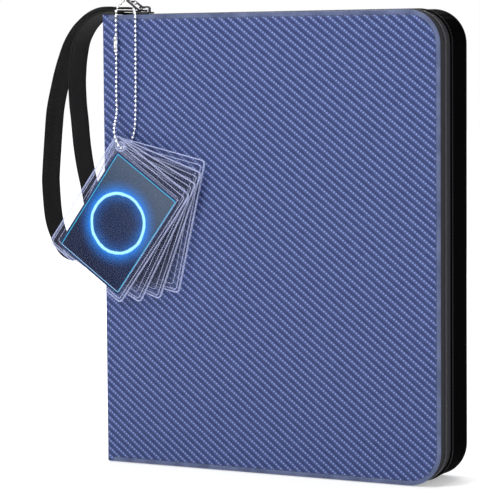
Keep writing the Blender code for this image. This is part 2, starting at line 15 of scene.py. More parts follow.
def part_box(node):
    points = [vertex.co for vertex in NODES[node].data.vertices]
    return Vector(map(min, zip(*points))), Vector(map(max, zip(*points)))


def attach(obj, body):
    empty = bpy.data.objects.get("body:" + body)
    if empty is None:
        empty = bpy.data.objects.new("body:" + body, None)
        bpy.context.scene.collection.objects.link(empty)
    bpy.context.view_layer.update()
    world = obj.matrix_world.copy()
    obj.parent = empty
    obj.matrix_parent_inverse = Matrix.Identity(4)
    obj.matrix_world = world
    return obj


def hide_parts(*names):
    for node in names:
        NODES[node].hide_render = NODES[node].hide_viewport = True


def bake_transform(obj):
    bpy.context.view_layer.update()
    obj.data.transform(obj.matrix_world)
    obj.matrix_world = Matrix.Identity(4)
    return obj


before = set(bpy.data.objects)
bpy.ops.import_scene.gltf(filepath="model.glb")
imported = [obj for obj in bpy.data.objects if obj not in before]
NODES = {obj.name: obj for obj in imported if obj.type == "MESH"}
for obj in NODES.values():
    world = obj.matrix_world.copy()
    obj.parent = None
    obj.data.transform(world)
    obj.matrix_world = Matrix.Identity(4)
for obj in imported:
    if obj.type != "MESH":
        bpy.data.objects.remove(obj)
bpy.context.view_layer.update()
MM = 0.001

# The case, from the frame where it has the size
CASE_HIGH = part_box("back_cover")[1]
FRONT_LOW, FRONT_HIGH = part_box("front_cover")
SPINE_X, FORE_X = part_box("spine_cover")[0].x, CASE_HIGH.x
HEIGHT = CASE_HIGH.z
FRONT_Y, BACK_Y = FRONT_LOW.y, CASE_HIGH.y
REVEAL = FORE_X - FRONT_HIGH.x
CORNER_RADIUS = 25 * MM
ZIP_Y = (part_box("zip_coil_front")[1].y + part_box("zip_coil_back")[0].y) / 2
GAP = 0.3 * MM

# The chain and the strap
CHAIN_DIAMETER = 2.4 * MM
BEAD_PITCH = 3.5 * MM
BEAD_WIRE_RADIUS = 0.26 * MM
CONNECTOR_LENGTH, CONNECTOR_RADIUS = 11.3 * MM, 1.7 * MM
STRAP_WIDTH, STRAP_THICKNESS = 20 * MM, 1.5 * MM
STRAP_YAW = math.radians(78)

# The holders on the chain, which turn about their corner holes, and the cards
HOLDER_COUNT = 4
HOLDER_WIDTH, HOLDER_HEIGHT = 76 * MM, 102 * MM
HOLDER_THICKNESS = 1.8 * MM
HOLE_FROM_SIDE, HOLE_FROM_TOP = 8.0 * MM, 5.4 * MM
HOLE_X, HOLE_Z = SPINE_X + 20.5 * MM, HEIGHT - 99 * MM
FIRST_TILT, FAN_STEP = math.radians(36), math.radians(7.6)
CARD_FROM_SIDE, CARD_FROM_TOP = 7.6 * MM, 9.6 * MM
CARD_WIDTH, CARD_HEIGHT = 63.5 * MM, 88.9 * MM
CARD_THICKNESS = 0.4 * MM
PRINTED_RING_RADIUS = 22.5 * MM
CHAIN_BACK_Y = FRONT_Y - GAP - 0.2 * MM - CHAIN_DIAMETER / 2
CHAIN_FRONT_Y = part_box("card_holder_1")[0].y - 0.4 * MM - CHAIN_DIAMETER / 2

# The pages and the rings
PAGES_PER_SIDE = 5
PAGE_MARGIN = 20 * MM
CELL_WIDTH, CELL_HEIGHT = 68 * MM, 94 * MM
RING_RADIUS = 18 * MM

# The studio
SOFT_GLOSS = 0.07
SKY_LIGHT = 0.32
FLOOR_SIZE = 6.0
CAMERA_LENS, CAMERA_SHIFT = 162.43, -0.06
CAMERA_PLACE = (0.6828, -1.4550, 0.2998)
CAMERA_TURN, CAMERA_PITCH, CAMERA_ROLL = 26.24, 4.018, -0.466


# ---------------------------------------------------------------- node helpers

class Shader:
    """A material whose nodes are added one call at a time."""

    def __init__(self, name, roughness=0.5, metallic=0.0, colour=(0.8, 0.8, 0.8), **inputs):
        self.material = bpy.data.materials.new(name)
        self.material.use_nodes = True
        self.tree = self.material.node_tree
        self.out = self.tree.nodes["Principled BSDF"]
        self.set("Roughness", roughness)
        self.set("Metallic", metallic)
        self.set("Base Color", (*colour, 1.0))
        for key, value in inputs.items():
            self.set(key.replace("_", " "), value)

    def set(self, socket, value):
        """Gives a socket of the surface a value, or links another node to it."""
        if hasattr(value, "is_linked"):
            self.tree.links.new(value, self.out.inputs[socket])
        else:
            self.out.inputs[socket].default_value = value

    def node(self, kind, inputs=(), output=0, **settings):
        """Adds a node, and returns the output that the next node reads."""
        made = self.tree.nodes.new(kind)
        for key, value in settings.items():
            setattr(made, key, value)
        for index, value in dict(inputs).items():
            if hasattr(value, "is_linked"):
                self.tree.links.new(value, made.inputs[index])
            elif value is not None:
                made.inputs[index].default_value = value
        return made.outputs[output]

    def math(self, operation, a, b=None, c=None):
        return self.node("ShaderNodeMath", {0: a, 1: b, 2: c}, operation=operation)

    def place(self, scale=(1, 1, 1)):
        """Coordinates fixed to the piece at rest, scaled."""
        coords = self.node("ShaderNodeTexCoord", output=3)
        return self.node("ShaderNodeMapping", {0: coords, 3: scale})

    def split(self, vector):
        made = self.tree.nodes.new("ShaderNodeSeparateXYZ")
        self.tree.links.new(vector, made.inputs[0])
        return made.outputs

    def noise(self, vector, scale, detail=2.0, rough=0.5):
        return self.node("ShaderNodeTexNoise",
                         {"Vector": vector, "Scale": scale, "Detail": detail,
                          "Roughness": rough})

    def ramp(self, factor, stops):
        made = self.tree.nodes.new("ShaderNodeValToRGB")
        self.tree.links.new(factor, made.inputs[0])
        elements = made.color_ramp.elements
        while len(elements) < len(stops):
            elements.new(0.5)
        for element, (position, colour) in zip(elements, stops):
            element.position = position
            element.color = (*colour, 1.0) if len(colour) == 3 else colour
        return made.outputs[0]

    def mix(self, factor, a, b):
        """Colour between a and b."""
        made = self.tree.nodes.new("ShaderNodeMix")
        made.data_type = "RGBA"
        for index, value in ((0, factor), (6, a), (7, b)):
            if hasattr(value, "is_linked"):
                self.tree.links.new(value, made.inputs[index])
            else:
                made.inputs[index].default_value = (
                    value if index == 0 else (*value, 1.0))
        return made.outputs[2]

    def bump(self, height, distance, strength=1.0):
        self.set("Normal", self.node("ShaderNodeBump",
                                     {"Height": height, "Distance": distance,
                                      "Strength": strength}))


# ------------------------------------------------------------------- materials

def twill():
    """Coated fabric pressed with diagonal ribs, each a row of small raised ticks, coloured
    with painted shade in the rib grooves, a painted highlight on the rib crowns and the ticks,
    and random mottle.
    """
    s = Shader("blue_twill", roughness=0.45, Specular_IOR_Level=0.3, Sheen_Weight=0.05,
               Sheen_Roughness=0.4, Sheen_Tint=(0.6, 0.66, 1.0, 1.0))
    x, y, z = s.split(s.place())
    flat = s.math("ADD", x, y)
    slope = math.radians(39)
    across = s.math("ADD", s.math("MULTIPLY", flat, math.sin(slope)),
                    s.math("MULTIPLY", z, math.cos(slope)))
    along = s.math("SUBTRACT", s.math("MULTIPLY", flat, math.cos(slope)),
                   s.math("MULTIPLY", z, math.sin(slope)))
    rib_pitch, tick_pitch = 4.55 * MM, 2.3 * MM
    row = s.math("DIVIDE", across, rib_pitch)
    rib = s.math("FRACT", row)
    which = s.math("FLOOR", row)
    offset = s.math("MULTIPLY", which, 0.37)
    step = s.math("FRACT", s.math("ADD", s.math("DIVIDE", along, tick_pitch), offset))
    wave = s.math("SINE", s.math("MULTIPLY", rib, math.pi))
    crown = s.math("POWER", wave, 1.3)
    fine = s.math("SINE", s.math("MULTIPLY", row, 6 * math.pi))
    fine = s.math("MULTIPLY_ADD", fine, 0.5, 0.5)
    tick_along = s.math("SINE", s.math("MULTIPLY", step, math.pi))
    near = s.math("SUBTRACT", rib, 0.55)
    near = s.math("DIVIDE", near, 0.17)
    near = s.math("SUBTRACT", 1.0, s.math("MULTIPLY", near, near))
    near = s.math("MAXIMUM", near, 0.0)
    tick = s.math("MULTIPLY", s.math("POWER", tick_along, 3.0), near)
    mottle = s.noise(s.place(), 260.0, 3.0, 0.6)
    level = s.math("ADD", s.math("MULTIPLY", crown, 0.55), s.math("MULTIPLY", fine, 0.22))
    level = s.math("ADD", level, s.math("MULTIPLY", s.math("SUBTRACT", mottle, 0.5), 0.5))
    # Painted shade and highlight: the colour is darker in the rib grooves and lighter on the
    # rib crowns, over random mottle.
    base = s.ramp(level, [(0.0, (0.011, 0.020, 0.085)), (0.35, (0.026, 0.043, 0.145)),
                          (0.7, (0.058, 0.086, 0.235)), (1.0, (0.090, 0.125, 0.31))])
    # Painted highlight: the raised ticks are mixed towards a light blue.
    bright = s.mix(s.math("MULTIPLY", tick, 0.85), base, (0.26, 0.33, 0.64))
    s.set("Base Color", bright)
    height = s.math("ADD", s.math("MULTIPLY", crown, 0.7), s.math("MULTIPLY", tick, 0.4))
    s.bump(height, 0.35 * MM, 0.7)
    return s.material


def rolled_edge():
    """The same coated fabric where it is turned over the cover's edge and polished."""
    s = Shader("rolled_edge", roughness=0.4, Specular_IOR_Level=0.35)
    where = s.place()
    slow = s.noise(where, 90.0, 3.0)
    fine = s.noise(where, 900.0, 2.0)
    s.set("Base Color", s.ramp(slow, [(0.3, (0.048, 0.066, 0.145)),
                                      (0.7, (0.10, 0.126, 0.235))]))
    s.bump(fine, 0.12 * MM, 0.5)
    return s.material


def grain(name, dark, light, roughness, scale, gloss=SOFT_GLOSS):
    """Fine pebbled grain of a soft coated fabric."""
    s = Shader(name, roughness=roughness, Specular_IOR_Level=gloss)
    cells = s.node("ShaderNodeTexVoronoi", {"Vector": s.place(), "Scale": scale})
    slow = s.noise(s.place(), 35.0, 4.0)
    s.set("Base Color", s.mix(slow, dark, light))
    s.set("Roughness", s.math("MULTIPLY_ADD", slow, 0.2, roughness - 0.1))
    s.bump(cells, 0.12 * MM, 0.35)
    return s.material


def woven(name, dark, light, pitch, axes=("X", "Z")):
    """Plain weave: threads crossing over and under, on two of the piece's axes."""
    s = Shader(name, roughness=0.8, Specular_IOR_Level=SOFT_GLOSS, Sheen_Weight=0.03,
               Sheen_Roughness=0.5)
    parts = dict(zip("XYZ", s.split(s.place())))
    a = s.math("SINE", s.math("MULTIPLY", parts[axes[0]], math.pi / pitch))
    b = s.math("SINE", s.math("MULTIPLY", parts[axes[1]], math.pi / pitch))
    product = s.math("MULTIPLY", a, b)
    weave = s.math("MULTIPLY_ADD", product, 0.5, 0.5)
    fuzz = s.noise(s.place(), 1500.0, 2.0)
    tone = s.math("MULTIPLY_ADD", fuzz, 0.5, s.math("MULTIPLY", weave, 0.6))
    s.set("Base Color", s.ramp(tone, [(0.15, dark), (0.85, light)]))
    s.bump(weave, 0.25 * MM, 0.8)
    return s.material


def metal(name, colour, roughness, brushed=None):
    """Metal with fine streaks, drawn out along one axis where it is brushed."""
    s = Shader(name, roughness=roughness, metallic=1.0, colour=colour)
    stretch = {"X": (40, 900, 900), "Z": (900, 900, 40)}.get(brushed, (300, 300, 300))
    streak = s.noise(s.place(stretch), 1.0, 3.0)
    s.set("Roughness", s.math("MULTIPLY_ADD", streak, 0.16, roughness - 0.05))
    s.set("Base Color", s.mix(streak, colour, tuple(min(1.0, c * 1.12) for c in colour)))
    s.bump(streak, 0.02 * MM, 0.25)
    return s.material


def plastic(name, colour, roughness):
    """Moulded plastic, a little lighter and rougher in patches."""
    s = Shader(name, roughness=roughness, colour=colour)
    slow = s.noise(s.place(), 60.0, 4.0)
    worn = tuple(min(1.0, c * 1.2 + 0.01) for c in colour)
    s.set("Base Color", s.mix(slow, colour, worn))
    s.set("Roughness", s.math("MULTIPLY_ADD", slow, 0.12, roughness - 0.05))
    return s.material


def film(name, colour, alpha, edge_alpha, roughness):
    """Clear sheet: thin face on, whiter where it is seen along its surface."""
    s = Shader(name, roughness=roughness, colour=colour, Specular_IOR_Level=0.08)
    face = s.node("ShaderNodeLayerWeight", {"Blend": 0.35}, output=1)
    cloud = s.noise(s.place(), 28.0, 3.0)
    haze = s.math("MULTIPLY_ADD", cloud, alpha, alpha * 0.5)
    s.set("Alpha", s.math("MULTIPLY_ADD", s.math("POWER", face, 2.0), edge_alpha, haze))
    s.bump(s.noise(s.place(), 12.0, 2.0), 0.6 * MM, 0.25)
    return s.material


def card_art(name, painted_glow=1.0):
    """Print of a plain glowing ring on a dark ground, in a thin bright frame; the card also
    gives off its print colour as a painted glow.
    """
    s = Shader(name, roughness=0.34, Specular_IOR_Level=0.03)
    where = s.node("ShaderNodeAttribute", output=1, attribute_name="lay")
    u, _, v = s.split(where)
    radius = s.math("SQRT", s.math("ADD", s.math("MULTIPLY", u, u), s.math("MULTIPLY", v, v)))
    wisps = s.noise(where, 95.0, 5.0, 0.65)
    wobble = s.math("MULTIPLY", s.math("SUBTRACT", wisps, 0.5), 2.2 * MM)
    ragged = s.math("ADD", radius, wobble)
    outside = s.math("SUBTRACT", ragged, PRINTED_RING_RADIUS)
    away = s.math("ABSOLUTE", outside)
    core = s.math("SUBTRACT", 1.0, s.math("DIVIDE", away, 1.5 * MM))
    core = s.math("MAXIMUM", core, 0.0)
    glow_out = s.math("SUBTRACT", 1.0, s.math("DIVIDE", away, 13 * MM))
    glow_out = s.math("MAXIMUM", glow_out, 0.0)
    glow = s.math("MULTIPLY", s.math("POWER", glow_out, 2.2),
                  s.math("MULTIPLY_ADD", wisps, 1.3, 0.25))
    inside = s.math("LESS_THAN", radius, PRINTED_RING_RADIUS)
    glow = s.math("MULTIPLY", glow, s.math("MULTIPLY_ADD", inside, -0.55, 1.0))
    rise = s.math("DIVIDE", v, CARD_HEIGHT / 2)
    lean = s.math("ADD", rise, s.math("MULTIPLY", u, 6.0))
    ground = s.ramp(s.math("MULTIPLY_ADD", lean, 0.5, 0.5),
                    [(0.05, (0.0006, 0.003, 0.014)), (0.42, (0.0015, 0.009, 0.034)),
                     (0.52, (0.006, 0.024, 0.06)), (0.56, (0.018, 0.034, 0.055)),
                     (0.95, (0.044, 0.062, 0.088))])
    centre_dark = s.mix(s.math("MULTIPLY", inside, 0.85), ground, (0.004, 0.010, 0.035))
    glowing = s.mix(s.math("MINIMUM", glow, 1.0), centre_dark, (0.010, 0.17, 0.62))
    ringed = s.mix(s.math("MINIMUM", s.math("MULTIPLY", core, 1.4), 1.0), glowing,
                   (0.32, 0.78, 0.95))
    side = s.math("SUBTRACT", CARD_WIDTH / 2, s.math("ABSOLUTE", u))
    end = s.math("SUBTRACT", CARD_HEIGHT / 2, s.math("ABSOLUTE", v))
    inset = s.math("MINIMUM", side, end)
    line = s.math("COMPARE", inset, 1.9 * MM, 0.28 * MM)
    margin = s.math("LESS_THAN", inset, 1.6 * MM)
    framed = s.mix(s.math("MULTIPLY", margin, 0.9), ringed, (0.008, 0.018, 0.05))
    framed = s.mix(s.math("MULTIPLY", line, 0.8), framed, (0.03, 0.38, 0.62))
    s.set("Base Color", framed)
    # Painted glow: the card emits its own print colour though it is no lamp.
    s.set("Emission Color", framed)
    s.set("Emission Strength", 0.4 * painted_glow)
    return s.material


def strap_weave():
    """Herringbone webbing: fine cross ribs."""
    s = Shader("strap_weave", roughness=0.75, Specular_IOR_Level=SOFT_GLOSS,
               Sheen_Weight=0.06, Sheen_Roughness=0.45)
    where = s.node("ShaderNodeAttribute", output=1, attribute_name="lay")
    along, across, _ = s.split(where)
    skew = s.math("MULTIPLY_ADD", s.math("ABSOLUTE", across), 1.0, along)
    rows = s.math("SINE", s.math("MULTIPLY", skew, 2 * math.pi / (1.1 * MM)))
    lines = s.math("SINE", s.math("MULTIPLY", across, 2 * math.pi / (1.3 * MM)))
    weave = s.math("MULTIPLY_ADD", s.math("MULTIPLY", rows, lines), 0.5, 0.5)
    fuzz = s.noise(where, 1200.0, 2.0)
    tone = s.math("MULTIPLY_ADD", fuzz, 0.5, s.math("MULTIPLY", weave, 0.5))
    s.set("Base Color", s.ramp(tone, [(0.1, (0.003, 0.003, 0.003)),
                                      (0.9, (0.020, 0.0195, 0.020))]))
    s.bump(weave, 0.25 * MM, 0.8)
    return s.material


# ---------------------------------------------------------------- mesh helpers

def piece(name, verts, faces, materials, body=None, slot=None, smooth=30, face_slots=None):
    mesh = bpy.data.meshes.new(name)
    mesh.from_pydata([tuple(v) for v in verts], [], faces)
    materials = materials if isinstance(materials, (list, tuple)) else [materials]
    for surface in materials:
        mesh.materials.append(surface)
    if face_slots:
        mesh.polygons.foreach_set("material_index", face_slots)
    mesh.update()
    shape = bmesh.new()
    shape.from_mesh(mesh)
    bmesh.ops.recalc_face_normals(shape, faces=shape.faces)
    shape.to_mesh(mesh)
    shape.free()
    mesh.shade_smooth()
    mesh.set_sharp_from_angle(angle=math.radians(smooth))
    made = bpy.data.objects.new(name, mesh)
    bpy.context.scene.collection.objects.link(made)
    if body:
        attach(made, body)
    return made


def arc(centre, radius, start, end, steps):
    """Points of an arc in the plane, its angles in degrees."""
    turns = [math.radians(start + (end - start) * i / steps) for i in range(steps + 1)]
    return [(centre[0] + radius * math.cos(t), centre[1] + radius * math.sin(t))
            for t in turns]


def case_line(inset, start, shrink=0.0, steps=14):
    """The case's outline as (x, z), from the spine round the fore edge and back."""
    right, top = FORE_X - inset - shrink, HEIGHT - inset - shrink
    radius = CORNER_RADIUS - inset
    return ([(start, inset)]
            + arc((right - radius, inset + radius), radius, -90, 0, steps)
            + arc((right - radius, top - radius), radius, 0, 90, steps)
            + [(start, top)])


def rounded_box(x0, x1, y0, y1, radius, steps=6):
    """Outline of a rectangle with round corners."""
    corners = [(x1 - radius, y1 - radius, 0), (x0 + radius, y1 - radius, 90),
               (x0 + radius, y0 + radius, 180), (x1 - radius, y0 + radius, 270)]
    return [p for x, y, turn in corners for p in arc((x, y), radius, turn, turn + 90, steps)]


def loft(rings, caps=True):
    """Faces between rings of equally many points, with flat ends."""
    count = len(rings[0])
    verts = [v for ring in rings for v in ring]
    faces = []
    for r in range(len(rings) - 1):
        a, b = r * count, (r + 1) * count
        for i in range(count):
            j = (i + 1) % count
            faces.append((a + i, a + j, b + j, b + i))
    if caps:
        faces.append(tuple(range(count))[::-1])
        faces.append(tuple(range((len(rings) - 1) * count, len(rings) * count)))
    return verts, faces


def walk(points, pitch, offset=0.0):
    """Evenly spaced (place, direction) along a line of points."""
    found, done, target = [], 0.0, offset
    for a, b in zip(points, points[1:]):
        a, b = Vector(a), Vector(b)
        length = (b - a).length
        while length > 0 and target <= done + length:
            found.append((a.lerp(b, (target - done) / length), (b - a) / length))
            target += pitch
        done += length
    return found


def line_length(points):
    """Length of a line of points."""
    return sum((Vector(b) - Vector(a)).length for a, b in zip(points, points[1:]))


def ball(detail):
    """Unit ball, to be copied."""
    shape = bmesh.new()
    bmesh.ops.create_icosphere(shape, subdivisions=detail, radius=1.0)
    verts = [v.co.copy() for v in shape.verts]
    faces = [tuple(v.index for v in f.verts) for f in shape.faces]
    shape.free()
    return verts, faces


def rod():
    """Unit rod along X with rounded shoulders."""
    sides = 8
    rings = [[(x, r * math.cos(t), r * math.sin(t)) for t in
              (2 * math.pi * i / sides for i in range(sides))]
             for x, r in ((-1, 0.55), (-0.85, 0.95), (0.85, 0.95), (1, 0.55))]
    verts, faces = loft(rings)
    return [Vector(v) for v in verts], faces


def copies(base, frames):
    """Many placed copies of (verts, faces) as one mesh's data."""
    return gather([([matrix @ v for v in base[0]], base[1]) for matrix in frames])


def gather(parts):
    """Several (verts, faces) as one mesh's data."""
    verts, faces = [], []
    for more, more_faces in parts:
        first = len(verts)
        verts += more
        faces += [tuple(first + i for i in face) for face in more_faces]
    return verts, faces


def oriented(place, along, out, size):
    """Matrix of a unit shape set at place, its X along the line and its Z outward."""
    x = Vector(along).normalized()
    y = Vector(out).cross(x).normalized()
    z = x.cross(y)
    turn = Matrix((x, y, z)).transposed().to_4x4()
    return Matrix.Translation(place) @ turn @ Matrix.Diagonal((*size, 1.0))


def stitches(name, line, out, material, body, slot, pitch=3.0 * MM, length=2.1 * MM,
             thick=0.42 * MM):
    """Stitches along a line, each a small lens of thread that lies along it."""
    frames = [oriented(p, d, out(p), (length / 2, thick / 2, thick / 2))
              for p, d in walk(line, pitch, pitch / 2)]
    verts, faces = copies(ball(1), frames)
    return piece(name, verts, faces, material, body, slot, smooth=80)


def tube(points, radius, sides=12):
    """Verts and faces of a round tube along points, with flat ends."""
    rings, side = [], None
    points = [Vector(p) for p in points]
    for i, place in enumerate(points):
        ahead = points[min(i + 1, len(points) - 1)] - points[max(i - 1, 0)]
        ahead.normalize()
        if side is None:
            side = ahead.orthogonal().normalized()
        side = (side - ahead * side.dot(ahead)).normalized()
        other = ahead.cross(side)
        rings.append([place + (side * math.cos(t) + other * math.sin(t)) * radius
                      for t in (2 * math.pi * k / sides for k in range(sides))])
    return loft(rings)


def smooth_route(points, spacing):
    """Evenly spaced points on a Catmull-Rom curve through the route's own points."""
    route = [Vector(p) for p in points]
    route = [2 * route[0] - route[1]] + route + [2 * route[-1] - route[-2]]
    fine = []
    for a, b, c, d in zip(route, route[1:], route[2:], route[3:]):
        for step in range(20):
            t = step / 20
            fine.append(0.5 * (2 * b + (c - a) * t + (2 * a - 5 * b + 4 * c - d) * t * t
                               + (3 * b - a - 3 * c + d) * t ** 3))
    fine.append(route[-2])
    count = max(2, round(line_length(fine) / spacing))
    picked = [p for p, _ in walk(fine, line_length(fine) / count)]
    return picked[:count] + [fine[-1]]


def outward(p):
    """Direction out of the case at a point of its edge, in the XZ plane."""
    cx = min(p.x, FORE_X - CORNER_RADIUS)
    cz = min(max(p.z, CORNER_RADIUS), HEIGHT - CORNER_RADIUS)
    away = Vector((p.x - cx, 0, p.z - cz))
    if away.length < 1e-6:
        away = Vector((0, 0, 1 if p.z > HEIGHT / 2 else -1))
    return away.normalized()


def at_y(line, y):
    """An (x, z) line as points at one depth."""
    return [(x, y, z) for x, z in line]


def repaint(name, surface, bevel=0.0, segments=2):
    """Gives a carried-over node its material, and rounds its edges."""
    node = NODES[name]
    node.data.materials.clear()
    node.data.materials.append(surface)
    if bevel:
        soften = node.modifiers.new("soft_edges", "BEVEL")
        soften.width = bevel
        soften.segments = segments
        soften.limit_method = "ANGLE"
        soften.angle_limit = math.radians(40)
        soften.harden_normals = True
        node.data.shade_smooth()
        node.data.set_sharp_from_angle(angle=math.radians(35))


# ------------------------------------------------------------------- the cords

def chain_routes():
    """The chain's centre line: up from the connector to the pull, and the way back round."""
    top, back, front = HEIGHT, CHAIN_BACK_Y, CHAIN_FRONT_Y
    left_x = SPINE_X + 12.4 * MM
    face_y = CHAIN_BACK_Y - 0.2 * MM
    upper = [
        (left_x, face_y, top - 17.0 * MM + GAP),
        (left_x, face_y, top - 4 * MM),
        (left_x - 0.3 * MM, face_y + 1.6 * MM, top + 3.0 * MM),
        (left_x + 0.8 * MM, face_y + 5 * MM, top + 7.6 * MM),
        (left_x + 2.6 * MM, face_y + 9.5 * MM, top + 11.0 * MM),
        (left_x + 5.2 * MM, ZIP_Y - 0.6 * MM, top + 13.2 * MM),
        (SPINE_X + 21.6 * MM, ZIP_Y, top + 11.6 * MM),
        (SPINE_X + 22.2 * MM, ZIP_Y - 0.1 * MM, top + 8.6 * MM),
        (SPINE_X + 22.0 * MM, ZIP_Y - 0.2 * MM, top + 6.9 * MM),
    ]
    right_x = SPINE_X + 28.8 * MM
    lower = [
        (left_x, face_y, top - 17.0 * MM - CONNECTOR_LENGTH - GAP),
        (left_x - 0.3 * MM, face_y, top - 60 * MM),
        (left_x + 0.4 * MM, face_y - 1.2 * MM, top - 74 * MM),
        (left_x + 3.6 * MM, front + 1.0 * MM, top - 86 * MM),
        (HOLE_X - 2.4 * MM, front, top - 94.0 * MM),
        (HOLE_X, front + 1.6 * MM, HOLE_Z - 0.6 * MM),
        (HOLE_X, (front + back) / 2, HOLE_Z - 0.8 * MM),
        (HOLE_X, back - 1.6 * MM, HOLE_Z - 0.8 * MM),
        (HOLE_X + 2.2 * MM, back, HOLE_Z + 0.6 * MM),
        (HOLE_X + 6.2 * MM, back, HOLE_Z + 10 * MM),
        (right_x - 0.6 * MM, back, HOLE_Z + 24 * MM),
        (right_x, back, top - 40 * MM),
        (right_x + 0.2 * MM, back, top - 4 * MM),
        (right_x - 0.4 * MM, back + 0.5 * MM, top - 0.2 * MM),
        (right_x - 1.8 * MM, back + 2.4 * MM, top + 1.9 * MM),
        (right_x - 3.9 * MM, ZIP_Y - 7.4 * MM, top + 2.4 * MM),
        (right_x - 6.0 * MM, ZIP_Y - 4.4 * MM, top + 3.0 * MM),
        (SPINE_X + 21.8 * MM, ZIP_Y - 1.7 * MM, top + 4.2 * MM),
        (SPINE_X + 21.8 * MM, ZIP_Y - 0.6 * MM, top + 6.1 * MM),
    ]
    return upper, lower


def strap_route():
    """One webbing band: out of the tab, over, down, round the fold and back up beside it."""
    outer = [
        (-130.5, 9, 4.9), (-135.5, 9, 5.2), (-142, 10, 5.9), (-151, 11, 5.8), (-159, 13, 4.2),
        (-167, 15, 1.0), (-174.5, 17, -3.6), (-182, 19, -9.6), (-190, 21, -19.4),
        (-196.5, 23, -31.4), (-202, 25, -43.6), (-206, 26, -56), (-209, 26, -68),
        (-211, 26, -80.6), (-214.6, 26, -119.6), (-215, 26, -134), (-212.8, 26, -158.6),
        (-207.6, 26, -174), (-199, 26, -187), (-187, 26, -191),
    ]
    inner = [
        (-177.5, 26, -184.5), (-174, 26, -173), (-175, 26, -159), (-179, 26, -136.6),
        (-183.2, 26, -118), (-186, 26, -100.4), (-187.2, 25, -81), (-188, 24, -68),
        (-188, 23, -52.6), (-187, 22, -43.8), (-185.4, 21, -33.6), (-181.6, 19, -21.2),
        (-177, 17, -14), (-171, 15, -7.6), (-163, 13, -2.0), (-154, 11.4, 1.6),
        (-145, 10.4, 3.4), (-138.5, 9, 3.2), (-135, 9, 3.0), (-130.5, 9, 2.9),
    ]
    shift = SPINE_X + 136 * MM
    return [(x * MM + shift, y * MM, HEIGHT + z * MM) for x, y, z in outer + inner]


def beads(route):
    """Hollow beads on a fine wire, as a ball chain has, with one bead at each end."""
    radius = CHAIN_DIAMETER / 2
    span = line_length(route) - 2.02 * radius
    places = walk(route, span / round(span / BEAD_PITCH), radius)
    round_frames = [oriented(p, d, d.orthogonal(), (radius,) * 3) for p, d in places]
    verts, faces = copies(ball(3), round_frames)
    links = []
    for (a, _), (b, _) in zip(places, places[1:]):
        links.append(oriented((a + b) / 2, b - a, (b - a).orthogonal(),
                              ((b - a).length / 2, BEAD_WIRE_RADIUS, BEAD_WIRE_RADIUS)))
    return gather([(verts, faces), copies(rod(), links)])


def connector(middle, chrome):
    """Snap connector: a rolled tube with in-turned ends and a slit down its front."""
    half, radius = CONNECTOR_LENGTH / 2, CONNECTOR_RADIUS
    profile = [(-half, 0.55), (-half, 0.78), (-half + 0.3 * MM, 0.94), (-half + 0.8 * MM, 1.0),
               (-0.9 * MM, 1.0), (-0.6 * MM, 0.94), (0.6 * MM, 0.94), (0.9 * MM, 1.0),
               (half - 0.8 * MM, 1.0), (half - 0.3 * MM, 0.94), (half, 0.78), (half, 0.55)]
    sides = 28
    rings = []
    for z, share in profile:
        ring = []
        for i in range(sides):
            t = 2 * math.pi * i / sides
            slit = 0.72 if i in (20, 21, 22) and abs(z) < half - 0.2 * MM else 1.0
            ring.append(Vector(middle) + Vector((radius * share * slit * math.cos(t),
                                                 radius * share * slit * math.sin(t), z)))
        rings.append(ring)
    verts, faces = loft(rings)
    made = piece("connector_tube", verts, faces, chrome, "chain", "chrome", smooth=35)
    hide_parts("chain_connector")
    return made


def ball_chain(chrome):
    """The chain in two lengths, joined by the connector."""
    upper, lower = [smooth_route(route, 1.2 * MM) for route in chain_routes()]
    top = chain_routes()[0][0]
    middle = (top[0], top[1] - 0.5 * MM, top[2] - GAP - CONNECTOR_LENGTH / 2)
    tube_piece = connector(middle, chrome)
    short = piece("chain_beads_upper", *beads(upper), chrome, "chain", "chrome", smooth=80)
    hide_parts("ball_chain_upper")
    long = piece("chain_beads_lower", *beads(lower), chrome, "chain", "chrome", smooth=80)
    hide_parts("ball_chain_lower")


def wrist_strap(webbing, thread):
    """Flat webbing with thicker woven edges, along the strap's route."""
    route = smooth_route(strap_route(), 2.5 * MM)
    across = Vector((math.cos(STRAP_YAW), math.sin(STRAP_YAW), 0))
    half, thick = STRAP_WIDTH / 2, STRAP_THICKNESS / 2
    section = [(-1.0, 0.0), (-0.985, 0.7), (-0.95, 1.0), (-0.88, 0.95), (-0.84, 0.78),
               (-0.4, 0.82), (0.0, 0.84), (0.4, 0.82), (0.84, 0.78), (0.88, 0.95),
               (0.95, 1.0), (0.985, 0.7), (1.0, 0.0)]
    section = section + [(u, -v) for u, v in section[-2:0:-1]]
    rings, lay, done = [], [], 0.0
    for i, place in enumerate(route):
        ahead = (route[min(i + 1, len(route) - 1)] - route[max(i - 1, 0)]).normalized()
        out = ahead.cross(across).normalized()
        if i:
            done += (place - route[i - 1]).length
        rings.append([place + across * (u * half) + out * (v * thick) for u, v in section])
        lay += [(done, u * half, v * thick) for u, v in section]
    verts, faces = loft(rings)
    band = piece("webbing_band", verts, faces, webbing, "spine", "webbing", smooth=60)
    store_lay(band, lay)
    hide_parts("wrist_strap")
    start = route[0]
    box = [(start.x - x, start.y + y, start.z + thick) for x, y in
           ((0.6 * MM, -8 * MM), (4.6 * MM, -8 * MM), (4.6 * MM, 8 * MM), (0.6 * MM, 8 * MM),
            (0.6 * MM, -8 * MM), (4.6 * MM, 8 * MM))]
    stitches("strap_box_stitch", box, lambda p: Vector((0, 0, 1)), thread, "spine", "webbing",
             2.2 * MM, 1.7 * MM, 0.5 * MM)


def store_lay(obj, values):
    """Keeps each point's own place in the flat material, for weaves and prints."""
    made = obj.data.attributes.new("lay", "FLOAT_VECTOR", "POINT")
    made.data.foreach_set("vector", np.array(values, np.float32).ravel())


# ------------------------------------------------------------------ case parts

